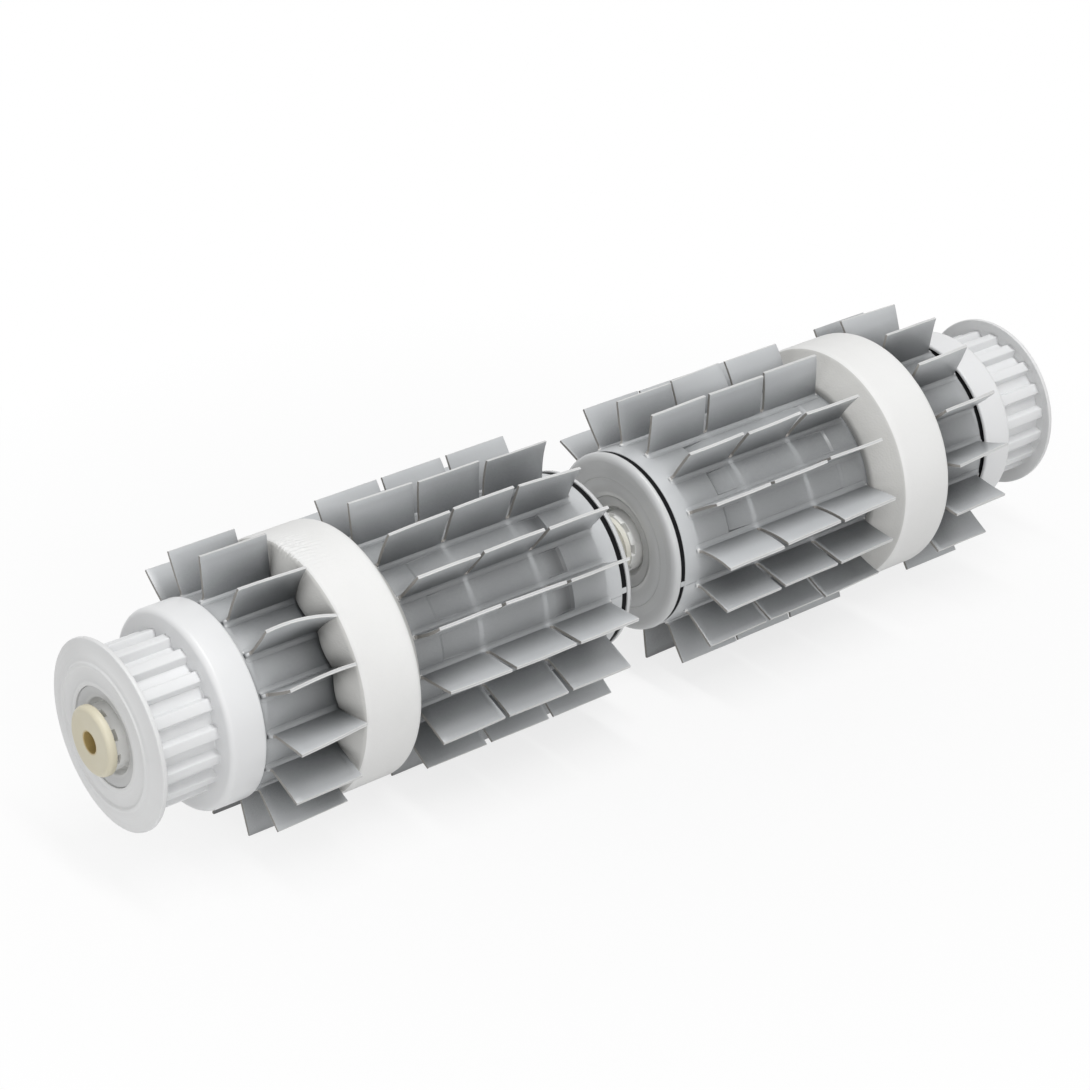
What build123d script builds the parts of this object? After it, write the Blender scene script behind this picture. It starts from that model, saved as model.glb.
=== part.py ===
from build123d import *

import os
from math import cos, radians, sin

# Brush roller of a pool cleaning robot: two identical half rollers on one axis.
#
# Each half is a core tube with two finned brush sleeves, a foam climbing ring between them,
# a grey cap at the middle and a toothed track pulley at the outer end.
# A cream joiner holds the halves in line and lets them turn at different speeds, and a cream
# bush in each outer end takes the pin of the robot's side plate.
#
# Millimetres. X is the spin axis, the origin is the middle of the roller, +Z is up.
# The half is modelled on the +X side, and the other one is the same half turned about Z.
# Angles run from +Z towards -Y.

# Fits
running_gap = 0.05        # journal in its bearing, on the radius
seat_gap = 0.10           # plastic pieces pushed into each other, on the radius
soft_gap = 0.30           # foam beside what it touches
end_gap = 0.15            # axial play of a journal in its hub

# Core tube
tube_radius = 32.0
tube_wall = 2.8

# Brush sleeves
sleeve_wall = 1.1
sleeve_lip = 0.6          # rounding of a sleeve's free end
fin_rows = 15
first_row_angle = 6.7
fin_height = 16.5
fin_thickness = 1.2
fin_length = 25.8
fins_per_row = 3          # on the long sleeve, and the short one has one
slit_width = 1.9
slit_floor = 1.3          # height that a slit leaves standing on the sleeve
fin_foot_width = 4.6
fin_foot_height = 1.0
inner_margin = 6.7        # plain sleeve between the middle cap and the first fin
ring_margin = 2.4         # plain sleeve between the last fin and the foam ring
outer_margin = 2.8        # plain sleeve between the short fins and the thick disk
seam_width = 0.4
seam_row = 4              # fin row beside the butt joint of the wrapped sheet
seam_offset = 3.0         # from that row to the joint, in degrees
tab_width = 2.2           # tab beside the joint, which reaches the middle cap

# Lock pockets moulded in the long sleeve, between the fin rows: deep at one end, running out at the other
pocket_depth = 0.7
pocket_length = 9.2
pocket_wall = 1.6         # length of the sloping wall at the deep end
pocket_edge = 4.0         # degrees left beside each fin row
inner_pocket_inset = 14.5 # from the first fin's start to the first ring's deep end
outer_pocket_inset = 9.4  # from the last fin's end to the second ring's deep end

# Foam ring
foam_radius = 46.0
foam_tread_width = 22.2
foam_root_width = 30.7
foam_shift = 2.4          # how far the tread sits outward of the middle of the root
foam_edge = 2.2

# Bearing hub, the same moulding at both ends of a half
hub_radius = 17.3
hub_depth = 10.0
hub_edge = 0.6
hub_rim_drop = 1.1        # how far the rim lies behind the face around it
boss_radius = 11.3
boss_proud = 1.6
recess_depth = 4.6
recess_round = 0.9
cone_depth = 1.9
cone_foot_radius = 13.2
bearing_wall = 3.0
bearing_length = 20.0     # from the face around the hub
notch_count = 8
notch_angle = 20.0
notch_depth = 1.5
notch_inner_radius = 8.9
inner_notch_phase = 36.0
outer_notch_phase = -13.5

# Middle cap
middle_gap = 16.6         # between the two inner hubs
cap_stand = 0.2           # how far the cap stands over the sleeve
cap_flange = 2.6
cap_edge = 2.0
cap_land_radius = 24.4    # round bead inside it, a flat annulus outside it
cap_land_step = 0.4
cap_bead_drop = hub_rim_drop
sleeve_stand_off = 2.0    # bare tube between the cap and the sleeve
spigot_length = 14.0
spigot_wall = 3.0
seat_wall = 3.0
rib_count = 6
rib_thickness = 2.0

# Toothed track pulley with its thick disk
disk_thickness = 13.5
disk_edge = 2.2
disk_back_edge = 0.8
disk_stand_off = 0.6      # between the sleeve and the disk's rim
disk_lip = 1.4            # rim left round the dish
dish_gap = 0.5            # bare floor of the dish round the washer
dish_depth = 2.3
tooth_count = 18
tooth_tip_radius = 28.3
tooth_root_radius = 25.4
tooth_tip_width = 3.9
tooth_root_width = 5.3
tooth_round = 0.6
belt_width = 24.5
drum_wall = 3.4
web_thickness = 8.0
washer_thickness = 0.6
washer_stand = 1.2        # how far the washer stands over the tube

# Outboard pulley flange
flange_radius = 33.3
flange_thickness = 2.0
flange_rim = 1.8
flange_dish = 1.9         # how far the rim lies behind the flat land
flange_land_radius = 25.1
flange_step = 0.35
flange_foot = 0.4         # how far the flange's foot stands over the teeth

# Bushes and joiner
journal_radius = 7.0
pin_bore_radius = 3.75
bush_head_radius = 12.2
bush_head_thickness = 3.0
head_edge = 1.6
joiner_head_radius = 10.8
joiner_head_thickness = 1.9
joiner_neck_radius = 8.0
barb_rise = 0.9
barb_length = 2.8
barb_slot_width = 1.6
barb_slot_length = 11.0

# Places along the axis, each worked out from the piece before it
hub_end = middle_gap / 2
cap_face = hub_end + boss_proud
cap_back = cap_face + cap_flange
sleeve_start = cap_back + sleeve_stand_off
fins_start = sleeve_start + inner_margin
fins_end = fins_start + fins_per_row * fin_length + (fins_per_row - 1) * slit_width
long_sleeve_end = fins_end + ring_margin
foam_start = long_sleeve_end + soft_gap
foam_end = foam_start + foam_root_width
short_sleeve_start = foam_end + soft_gap
short_fins_end = short_sleeve_start + fin_length
short_sleeve_end = short_fins_end + outer_margin
disk_back = short_sleeve_end + disk_stand_off
dish_floor = disk_back + dish_depth
tube_end = dish_floor - washer_thickness
disk_face = disk_back + disk_thickness
drum_end = disk_face + belt_width
flange_face = drum_end + flange_thickness

# Radii worked out from the pieces that fit each other
tube_bore = tube_radius - tube_wall
sleeve_bore = tube_radius + seat_gap
sleeve_radius = sleeve_bore + sleeve_wall
foam_bore = tube_radius + soft_gap
spigot_radius = tube_bore - seat_gap
spigot_bore = spigot_radius - spigot_wall
fin_tip_radius = sleeve_radius + fin_height
cap_radius = sleeve_radius + cap_stand
washer_radius = tube_radius + washer_stand
dish_radius = washer_radius + dish_gap
disk_radius = dish_radius + disk_lip
hub_bore = journal_radius + running_gap
bearing_radius = hub_bore + bearing_wall
hub_seat = hub_radius + seat_gap
drum_bore = tooth_root_radius - drum_wall
row_pitch = 360 / fin_rows
seam_angle = first_row_angle + seam_row * row_pitch - seam_offset


def revolved(points):
    """Solid of revolution about X from a closed outline of (x, radius) points."""
    return revolve(Plane.XZ * make_face(Polyline(*points, close=True)), Axis.X, 360)


def tube(x_start, x_end, outer, inner):
    return revolved([(x_start, inner), (x_end, inner), (x_end, outer), (x_start, outer)])


def section_at(x, face, length):
    """Push a face drawn across the axis along +X from x."""
    return extrude(Plane.YZ.offset(x) * face, length)


def at_angle(shape, angle):
    """Turn a shape that stands along +Z to an angle about X."""
    return Rot(angle, 0, 0) * shape


def across(width, height, angle):
    """Point of a cross-section, given beside and above the line of an angle."""
    turn = radians(angle)
    return (width * cos(turn) - height * sin(turn), width * sin(turn) + height * cos(turn))


def row_face(points, angle):
    """Cross-section polygon from (width, height) points that stand on the line of an angle."""
    return make_face(Polyline(*[across(width, height, angle) for width, height in points], close=True))


def wedge_face(start, end, reach):
    """Pie slice of the cross-section between two angles."""
    return make_face(Polyline((0, 0), across(0, reach, start), across(0, reach, end), close=True))


def wedges(count, first_angle, pitch, width, reach):
    """Pie slices of equal width, centred on evenly spaced angles."""
    slices = wedge_face(first_angle - width / 2, first_angle + width / 2, reach)
    for step in range(1, count):
        middle = first_angle + step * pitch
        slices += wedge_face(middle - width / 2, middle + width / 2, reach)
    return slices


def finned_section():
    """Sleeve wall with all its fin rows on their widened feet."""
    foot_sink = sleeve_wall / 4
    fin = [
        (-fin_foot_width / 2, sleeve_radius - foot_sink),
        (-fin_thickness / 2, sleeve_radius + fin_foot_height),
        (-fin_thickness / 2, fin_tip_radius),
        (fin_thickness / 2, fin_tip_radius),
        (fin_thickness / 2, sleeve_radius + fin_foot_height),
        (fin_foot_width / 2, sleeve_radius - foot_sink),
    ]
    section = Circle(sleeve_radius)
    for row in range(fin_rows):
        section += row_face(fin, first_row_angle + row * row_pitch)
    return section - Circle(sleeve_bore)


def plain_band(x_free, x_joined):
    """Sleeve without fins, rounded at its free end."""
    inward = 1 if x_joined > x_free else -1
    return revolved([
        (x_free, sleeve_bore), (x_joined, sleeve_bore), (x_joined, sleeve_radius),
        (x_free + inward * sleeve_lip, sleeve_radius),
        (x_free + inward * sleeve_lip / 3, sleeve_radius - sleeve_lip / 3),
        (x_free, sleeve_radius - sleeve_lip),
    ])


def slit_ring(x):
    """Ring that cuts one slit through every row, with a rounded floor."""
    half = slit_width / 2
    floor = sleeve_radius + slit_floor
    top = fin_tip_radius + slit_width
    profile = make_face([
        Line((x - half, floor + half), (x - half, top)),
        Line((x - half, top), (x + half, top)),
        Line((x + half, top), (x + half, floor + half)),
        ThreePointArc((x + half, floor + half), (x, floor), (x - half, floor + half)),
    ])
    return revolve(Plane.XZ * profile, Axis.X, 360)


def pocket_ring(deep_end, outward):
    """Ring of lock pockets, one between each pair of rows. outward is the side on which they run out."""
    shallow_end = deep_end + outward * pocket_length
    ring = revolved([
        (deep_end, sleeve_radius + fin_foot_height), (deep_end, sleeve_radius),
        (deep_end + outward * pocket_wall, sleeve_radius - pocket_depth),
        (shallow_end, sleeve_radius), (shallow_end, sleeve_radius + fin_foot_height),
    ])
    middle = first_row_angle + row_pitch / 2
    slices = wedges(fin_rows, middle, row_pitch, row_pitch - 2 * pocket_edge, 2 * sleeve_radius)
    return ring & section_at(min(deep_end, shallow_end), slices, pocket_length)


def seam_cut(x_start, x_end):
    """Butt joint of the sheet that is wrapped round the tube."""
    gap = Box(x_end - x_start, seam_width, 4 * sleeve_wall)
    return at_angle(Pos((x_start + x_end) / 2, 0, sleeve_radius) * gap, seam_angle)


def end_tab():
    """Tab of the sheet beside its joint, over the bare tube as far as the middle cap."""
    reach = sleeve_stand_off - end_gap
    beside = (seam_width + tab_width) / 2
    tab = Pos(sleeve_start - reach / 2, beside, 0) * Box(reach, tab_width, 4 * sleeve_radius)
    upper = tab & (Pos(sleeve_start, 0, sleeve_radius) * Box(4 * reach, 2 * sleeve_radius, sleeve_radius))
    return at_angle(upper, seam_angle) & tube(cap_back, sleeve_start, sleeve_radius, sleeve_bore)


def long_brush_sleeve():
    sleeve = plain_band(sleeve_start, fins_start)
    sleeve += section_at(fins_start, finned_section(), fins_end - fins_start)
    sleeve += plain_band(long_sleeve_end, fins_end)
    for slit in range(1, fins_per_row):
        sleeve -= slit_ring(fins_start + slit * (fin_length + slit_width) - slit_width / 2)
    sleeve -= pocket_ring(fins_start + inner_pocket_inset, 1)
    sleeve -= pocket_ring(fins_end - outer_pocket_inset, -1)
    return sleeve - seam_cut(sleeve_start, long_sleeve_end) + end_tab()


def short_brush_sleeve():
    sleeve = section_at(short_sleeve_start, finned_section(), fin_length)
    sleeve += plain_band(short_sleeve_end, short_fins_end)
    return sleeve - seam_cut(short_sleeve_start, short_sleeve_end)


def core_tube():
    return tube(cap_back, tube_end, tube_radius, tube_bore)


def foam_ring():
    """Climbing ring: a narrow tread on a wide root that fills the space between the sleeves."""
    middle = (foam_start + foam_end) / 2 + foam_shift
    tread_start = middle - foam_tread_width / 2
    tread_end = middle + foam_tread_width / 2
    shoulder = foam_radius - foam_edge
    root = sleeve_radius + foam_edge
    return revolved([
        (foam_start, foam_bore), (foam_end, foam_bore), (foam_end, root),
        (tread_end, shoulder), (tread_end - foam_edge, foam_radius),
        (tread_start + foam_edge, foam_radius), (tread_start, shoulder), (foam_start, root),
    ])


def seat_washer():
    """Thin washer between the tube's end and the floor of the disk's dish."""
    return tube(tube_end, dish_floor, washer_radius, tube_bore)


def middle_cap():
    """Grey cap: rounded flange with a bead round the hub, hollow spigot, ribbed seat for the hub."""
    land = cap_face + cap_land_step
    seat_end = cap_face + hub_depth
    bead_middle = (hub_seat + cap_land_radius) / 2
    profile = make_face([
        Polyline(
            (land, cap_land_radius), (cap_face, cap_land_radius + cap_land_step),
            (cap_face, cap_radius), (cap_back, cap_radius), (cap_back, hub_seat),
            (cap_face + cap_bead_drop, hub_seat),
        ),
        ThreePointArc((cap_face + cap_bead_drop, hub_seat), (cap_face, bead_middle), (land, cap_land_radius)),
    ])
    flange = revolve(Plane.XZ * profile, Axis.X, 360)
    rims = flange.edges().filter_by(GeomType.CIRCLE).group_by(SortBy.RADIUS)[-1]
    flange = fillet(rims.sort_by(Axis.X)[0], min(cap_edge, 0.8 * cap_flange))
    spigot = tube(cap_back, cap_back + spigot_length, spigot_radius, spigot_bore)
    seat = tube(cap_back, seat_end, hub_seat + seat_wall, hub_seat)
    rib_height = spigot_bore - hub_seat - seat_wall + seat_gap
    rib = Box(seat_end - cap_back, rib_thickness, rib_height)
    rib = Pos((cap_back + seat_end) / 2, 0, hub_seat + seat_wall + rib_height / 2 - seat_gap / 2) * rib
    cap = flange + spigot + seat
    for step in range(rib_count):
        cap += at_angle(rib, step * 360 / rib_count)
    return cap


def bearing_hub(face, outward, notch_phase):
    """Hub with a castellated boss in a conical recess. face is the cap's or flange's, outward is +1 or -1."""
    boss_end = face + outward * boss_proud

    def depth(value):
        return face - outward * value

    hub = revolved([
        (depth(hub_rim_drop), hub_radius), (depth(hub_rim_drop), hub_radius - hub_edge),
        (depth(cone_depth), cone_foot_radius),
        (depth(recess_depth - recess_round / 2), boss_radius + recess_round),
        (depth(recess_depth), boss_radius), (boss_end, boss_radius), (boss_end, hub_bore),
        (depth(bearing_length), hub_bore), (depth(bearing_length), bearing_radius),
        (depth(hub_depth), bearing_radius), (depth(hub_depth), hub_radius),
    ])
    slices = wedges(notch_count, notch_phase, 360 / notch_count, notch_angle, 2 * boss_radius)
    band = Circle(boss_radius + recess_round / 2) - Circle(notch_inner_radius)
    notch_start = min(boss_end - outward * notch_depth, boss_end)
    return hub - section_at(notch_start, slices & band, notch_depth)


def drive_pulley():
    """Toothed drum, thick dished disk and spigot in one moulding."""
    spigot_start = dish_floor - spigot_length
    web_start = drum_end - web_thickness
    throat = disk_face - spigot_wall
    pulley = revolved([
        (spigot_start, spigot_bore), (spigot_start, spigot_radius), (dish_floor, spigot_radius),
        (dish_floor, dish_radius), (disk_back, dish_radius), (disk_back, disk_radius),
        (disk_face, disk_radius), (disk_face, tooth_root_radius), (drum_end, tooth_root_radius),
        (drum_end, hub_seat), (web_start, hub_seat), (web_start, drum_bore),
        (throat, drum_bore), (throat, spigot_bore),
    ])
    rims = pulley.edges().filter_by(GeomType.CIRCLE).group_by(SortBy.RADIUS)[-1].sort_by(Axis.X)
    pulley = fillet(rims[-1], disk_edge)
    rims = pulley.edges().filter_by(GeomType.CIRCLE).group_by(SortBy.RADIUS)[-1].sort_by(Axis.X)
    pulley = chamfer(rims[0], disk_back_edge)
    tooth = [
        (-tooth_root_width / 2, tooth_root_radius - tooth_round),
        (-tooth_root_width / 2, tooth_root_radius),
        (-tooth_tip_width / 2, tooth_tip_radius - tooth_round),
        (tooth_round - tooth_tip_width / 2, tooth_tip_radius),
        (tooth_tip_width / 2 - tooth_round, tooth_tip_radius),
        (tooth_tip_width / 2, tooth_tip_radius - tooth_round),
        (tooth_root_width / 2, tooth_root_radius),
        (tooth_root_width / 2, tooth_root_radius - tooth_round),
    ]
    teeth = row_face(tooth, 0)
    for step in range(1, tooth_count):
        teeth += row_face(tooth, step * 360 / tooth_count)
    return pulley + section_at(disk_face, teeth, belt_width)


def pulley_flange():
    """Thin dished disc that keeps the track on the teeth."""
    rim_face = flange_face - flange_dish
    rim_back = rim_face - flange_rim
    land = flange_face - flange_step
    return revolved([
        (drum_end, hub_seat), (land, hub_seat),
        (land, flange_land_radius - 2 * flange_step), (flange_face, flange_land_radius - flange_step),
        (flange_face, flange_land_radius), (flange_face - flange_step / 2, flange_land_radius + flange_step),
        (rim_face, flange_radius - flange_rim / 4), (rim_face - flange_rim / 4, flange_radius),
        (rim_back + flange_rim / 4, flange_radius), (rim_back, flange_radius - flange_rim / 4),
        (drum_end, tooth_tip_radius + flange_foot),
    ])


def barbed_journal(head_x, outward):
    """Bored journal from its head back through the hub, ending in a slotted snap barb."""
    far_x = head_x - outward * (boss_proud + bearing_length + 2 * end_gap)
    tip_x = far_x - outward * barb_length
    journal = revolved([
        (head_x, pin_bore_radius), (head_x, journal_radius), (far_x, journal_radius),
        (far_x, journal_radius + barb_rise),
        (far_x - outward * barb_length / 4, journal_radius + barb_rise),
        (tip_x, journal_radius - barb_rise), (tip_x, pin_bore_radius),
    ])
    slot = Box(2 * barb_slot_length, barb_slot_width, 4 * journal_radius)
    return journal - Pos(tip_x, 0, 0) * slot


def end_bush():
    """Cream bush for the side plate's pin, with its journal in the outer hub."""
    head_back = flange_face + boss_proud + end_gap
    head_face = head_back + bush_head_thickness
    head = tube(head_back, head_face, bush_head_radius, pin_bore_radius)
    rims = head.edges().filter_by(GeomType.CIRCLE).group_by(SortBy.RADIUS)[-1]
    head = fillet(rims.sort_by(Axis.X)[-1], head_edge)
    return head + barbed_journal(head_back, 1)


def centre_joiner():
    """Cream spool between the halves, with a journal in each inner hub."""
    head_x = hub_end - end_gap
    neck_x = head_x - joiner_head_thickness
    spool = revolved([
        (-head_x, 0), (-head_x, joiner_head_radius), (-neck_x, joiner_head_radius),
        (-neck_x, joiner_neck_radius), (neck_x, joiner_neck_radius), (neck_x, joiner_head_radius),
        (head_x, joiner_head_radius), (head_x, 0),
    ])
    journal = barbed_journal(head_x, -1)
    return spool + journal + Rot(0, 0, 180) * journal


half_roller = {
    "core_tube": core_tube(),
    "long_brush_sleeve": long_brush_sleeve(),
    "short_brush_sleeve": short_brush_sleeve(),
    "foam_ring": foam_ring(),
    "seat_washer": seat_washer(),
    "middle_cap": middle_cap(),
    "inner_hub": bearing_hub(cap_face, -1, inner_notch_phase),
    "drive_pulley": drive_pulley(),
    "pulley_flange": pulley_flange(),
    "outer_hub": bearing_hub(flange_face, 1, outer_notch_phase),
    "end_bush": end_bush(),
}

os.makedirs("parts", exist_ok=True)
for name, piece in half_roller.items():
    export_step(piece, f"parts/right_{name}.step")
    export_step(Rot(0, 0, 180) * piece, f"parts/left_{name}.step")
export_step(centre_joiner(), "parts/centre_joiner.step")
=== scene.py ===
from math import atan2, cos, degrees, exp, hypot, pi, radians, sin

import bmesh
import bpy
from mathutils import Matrix, Vector


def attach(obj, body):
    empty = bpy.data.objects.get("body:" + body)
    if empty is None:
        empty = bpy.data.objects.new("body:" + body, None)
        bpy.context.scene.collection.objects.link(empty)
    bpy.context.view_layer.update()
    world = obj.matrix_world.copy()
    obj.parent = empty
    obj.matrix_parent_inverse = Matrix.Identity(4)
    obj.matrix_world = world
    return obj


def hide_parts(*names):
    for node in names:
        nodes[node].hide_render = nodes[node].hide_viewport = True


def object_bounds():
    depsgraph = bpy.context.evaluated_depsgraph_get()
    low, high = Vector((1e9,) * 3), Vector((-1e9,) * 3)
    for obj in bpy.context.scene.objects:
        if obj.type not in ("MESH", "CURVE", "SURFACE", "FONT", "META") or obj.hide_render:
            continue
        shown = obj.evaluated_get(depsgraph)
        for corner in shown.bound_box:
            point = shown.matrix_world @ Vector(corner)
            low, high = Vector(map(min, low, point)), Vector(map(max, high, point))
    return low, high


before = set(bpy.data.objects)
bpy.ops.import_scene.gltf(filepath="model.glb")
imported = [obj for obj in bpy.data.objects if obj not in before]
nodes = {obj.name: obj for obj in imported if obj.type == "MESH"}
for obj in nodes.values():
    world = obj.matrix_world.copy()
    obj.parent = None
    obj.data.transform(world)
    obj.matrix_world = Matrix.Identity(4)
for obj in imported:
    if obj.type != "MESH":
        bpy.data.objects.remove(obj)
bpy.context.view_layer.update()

# Brush roller of a pool cleaning robot. Sizes in the dictionaries are millimetres and degrees.
# X is the spin axis, angles run from +Z towards -Y, and each half is described on the +X side.
mm = 0.001
halves = {"left": -1, "right": 1}


# Working helpers

def clearSelection():
    active = bpy.context.view_layer.objects.active
    if active and active.mode == "EDIT":
        bpy.ops.object.mode_set(mode="OBJECT")
    bpy.ops.object.select_all(action="DESELECT")


def takeUp(piece):
    clearSelection()
    piece.select_set(True)
    bpy.context.view_layer.objects.active = piece


def startEdit(piece, mode="VERT"):
    takeUp(piece)
    bpy.ops.object.mode_set(mode="EDIT")
    bpy.ops.mesh.select_mode(type=mode)
    bpy.ops.mesh.select_all(action="DESELECT")


def endEdit():
    bpy.ops.object.mode_set(mode="OBJECT")


def pick(kind, partsName, test):
    bpy.ops.mesh.select_mode(type=kind)
    bpy.ops.mesh.select_all(action="DESELECT")
    grid = bmesh.from_edit_mesh(bpy.context.object.data)
    for part in getattr(grid, partsName):
        part.select_set(bool(test(part)))
    bmesh.update_edit_mesh(bpy.context.object.data)


def pickFaces(test):
    pick("FACE", "faces", lambda face: test(face.calc_center_median() / mm, face.normal))


def pickEdges(test):
    pick("EDGE", "edges", lambda edge: test(edge.verts[0].co / mm, edge.verts[1].co / mm))


def pickPoints(test):
    pick("VERT", "verts", lambda point: test(point.co / mm))


def place(x, radius, angle=0.0):
    turn = radians(angle)
    return Vector((x * mm, -radius * mm * sin(turn), radius * mm * cos(turn)))


def angleOf(point):
    return degrees(atan2(-point.y, point.z))


def radiusOf(point):
    return hypot(point.y, point.z)


def apart(angle, other):
    return (angle - other + 180.0) % 360.0 - 180.0


def smoothByAngle(piece, angle=35.0):
    takeUp(piece)
    bpy.ops.object.shade_smooth_by_angle(angle=radians(angle))


def finishedSeams(piece):
    startEdit(piece)
    bpy.ops.mesh.select_all(action="SELECT")
    bpy.ops.mesh.remove_doubles(threshold=0.002 * mm)
    bpy.ops.mesh.normals_make_consistent(inside=False)
    endEdit()


def applied(piece, kind, **settings):
    takeUp(piece)
    bpy.ops.object.modifier_add(type=kind)
    step = piece.modifiers[-1]
    for name, value in settings.items():
        setattr(step, name, value)
    bpy.ops.object.modifier_apply(modifier=step.name)


def softened(piece, width, angle=30.0):
    # edges sharper than the angle are rounded
    applied(piece, "BEVEL", width=width * mm, segments=2, limit_method="ANGLE", angle_limit=radians(angle))


def drawn(name, spots):
    # a closed line through the spots, left in edit mode
    clearSelection()
    bpy.ops.mesh.primitive_plane_add(size=mm)
    piece = bpy.context.object
    piece.name = name
    bpy.ops.object.mode_set(mode="EDIT")
    bpy.ops.mesh.select_mode(type="VERT")
    bpy.ops.mesh.select_all(action="SELECT")
    bpy.ops.mesh.merge(type="CENTER")
    bpy.ops.transform.translate(value=spots[0])
    for before, after in zip(spots, spots[1:] + spots[:1]):
        bpy.ops.mesh.extrude_region_move(TRANSFORM_OT_translate={"value": after - before})
    bpy.ops.mesh.select_all(action="SELECT")
    bpy.ops.mesh.remove_doubles(threshold=0.001 * mm)
    return piece


def lathe(name, outline, steps, startAngle=0.0, roundSteps=4):
    # outline rows are (x, radius) or (x, radius, rounding), in order round the closed section
    spots = [place(row[0], row[1], startAngle) for row in outline]
    piece = drawn(name, spots)
    for row, spot in zip(outline, spots):
        if len(row) > 2:
            pickPoints(lambda point: (point - spot / mm).length < 0.002)
            bpy.ops.mesh.bevel(offset=row[2] * mm, segments=roundSteps, affect="VERTICES")
    bpy.ops.mesh.select_all(action="SELECT")
    bpy.ops.mesh.spin(steps=steps, angle=2 * pi, center=(0, 0, 0), axis=(1, 0, 0))
    endEdit()
    finishedSeams(piece)
    return piece


def offsetRows(rows, x, radius, direction=1):
    # rows of depth behind a face at x and distance from a radius, with a rounding where there is one
    return [(x + direction * row[0], radius + row[1], *row[2:]) for row in rows]


def box(name, centre, size):
    clearSelection()
    bpy.ops.mesh.primitive_cube_add(size=1.0, location=centre)
    piece = bpy.context.object
    piece.name = name
    piece.scale = Vector(size) * mm
    settle(piece)
    return piece


def rolled(piece, angle):
    # turned about the spin axis
    piece.data.transform(Matrix.Rotation(radians(angle), 4, "X"))


def swappedEnds(piece):
    # turned about Z
    piece.data.transform(Matrix.Rotation(pi, 4, "Z"))


def copyOf(piece, name):
    twin = piece.copy()
    twin.data = piece.data.copy()
    twin.name = name
    bpy.context.collection.objects.link(twin)
    return twin


def joined(pieces, name):
    clearSelection()
    for piece in pieces:
        piece.select_set(True)
    bpy.context.view_layer.objects.active = pieces[0]
    bpy.ops.object.join()
    pieces[0].name = name
    return pieces[0]


def settle(piece):
    # place, turn and size go into the mesh
    takeUp(piece)
    bpy.ops.object.transform_apply(location=True, rotation=True, scale=True)


def dress(piece, *materials):
    piece.data.materials.clear()
    for material in materials:
        piece.data.materials.append(material)


def handOver(piece, body, replaced):
    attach(piece, body)
    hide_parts(replaced)


def handOverPair(piece, name, body, replaced):
    # the left half is the right one turned about Z
    twin = copyOf(piece, f"left{name}")
    swappedEnds(twin)
    piece.name = f"right{name}"
    handOver(piece, f"right_{body}", f"right_{replaced}")
    handOver(twin, f"left_{body}", f"left_{replaced}")


# Materials

def shaderInput(material, name):
    return material.node_tree.nodes["Principled BSDF"].inputs[name]


def newMaterial(name, colour, roughness, specular=0.5):
    material = bpy.data.materials.new(name)
    material.use_nodes = True
    shaderInput(material, "Base Color").default_value = (*colour, 1.0)
    shaderInput(material, "Roughness").default_value = roughness
    shaderInput(material, "Specular IOR Level").default_value = specular
    return material


def addNode(material, kind, **values):
    node = material.node_tree.nodes.new(kind)
    for name, value in values.items():
        if name in node.inputs:
            node.inputs[name].default_value = value
        else:
            setattr(node, name, value)
    return node


def link(material, source, target):
    material.node_tree.links.new(source, target)


def objectPlace(material):
    return addNode(material, "ShaderNodeTexCoord").outputs["Object"]


def clouds(material, scale, detail=3.0, roughness=0.5):
    noise = addNode(material, "ShaderNodeTexNoise", Scale=scale, Detail=detail, Roughness=roughness)
    link(material, objectPlace(material), noise.inputs["Vector"])
    return noise.outputs["Fac"]


def stretchRange(material, value, low, high, newLow=0.0, newHigh=1.0):
    node = addNode(material, "ShaderNodeMapRange")
    for socket, number in zip(("From Min", "From Max", "To Min", "To Max"), (low, high, newLow, newHigh)):
        node.inputs[socket].default_value = number
    link(material, value, node.inputs["Value"])
    return node.outputs["Result"]


def colourBetween(material, factor, first, second):
    node = addNode(material, "ShaderNodeMix", data_type="RGBA")
    link(material, factor, node.inputs[0])
    for socket, colour in ((node.inputs[6], first), (node.inputs[7], second)):
        if isinstance(colour, tuple):
            socket.default_value = (*colour, 1.0)
        else:
            link(material, colour, socket)
    return node.outputs[2]


def bumpFrom(material, height, strength, distance, onto=None):
    node = addNode(material, "ShaderNodeBump", Strength=strength, Distance=distance * mm)
    link(material, height, node.inputs["Height"])
    if onto:
        link(material, onto, node.inputs["Normal"])
    return node.outputs["Normal"]


def radialDistance(material):
    # distance from the spin axis, in metres
    split = addNode(material, "ShaderNodeSeparateXYZ")
    link(material, objectPlace(material), split.inputs[0])
    flat = addNode(material, "ShaderNodeCombineXYZ")
    link(material, split.outputs["Y"], flat.inputs["Y"])
    link(material, split.outputs["Z"], flat.inputs["Z"])
    length = addNode(material, "ShaderNodeVectorMath", operation="LENGTH")
    link(material, flat.outputs[0], length.inputs[0])
    return length.outputs["Value"]


def blendedIn(material, shade, ownShare):
    # the colour so far keeps its own share, and the rest turns into the shade
    colour = shaderInput(material, "Base Color")
    link(material, colourBetween(material, ownShare, shade, colour.links[0].from_socket), colour)


def paintedShadeTowardsRim(material, nearRadius, farRadius, farShade):
    # painted light and shade that change with the distance from the spin axis
    distance = radialDistance(material)
    ownShare = stretchRange(material, distance, nearRadius * mm, farRadius * mm, 1.0, 0.0)
    blendedIn(material, farShade, ownShare)


def sheltered(material, cavityShade, reach, low, high):
    # darker where little light gets in
    hollow = addNode(material, "ShaderNodeAmbientOcclusion", samples=6, Distance=reach * mm)
    blendedIn(material, cavityShade, stretchRange(material, hollow.outputs["AO"], low, high))


def drifting(material, scale, shades):
    # slow clouds between two shades
    mix = stretchRange(material, clouds(material, scale), 0.3, 0.7)
    link(material, colourBetween(material, mix, *shades), shaderInput(material, "Base Color"))


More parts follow.
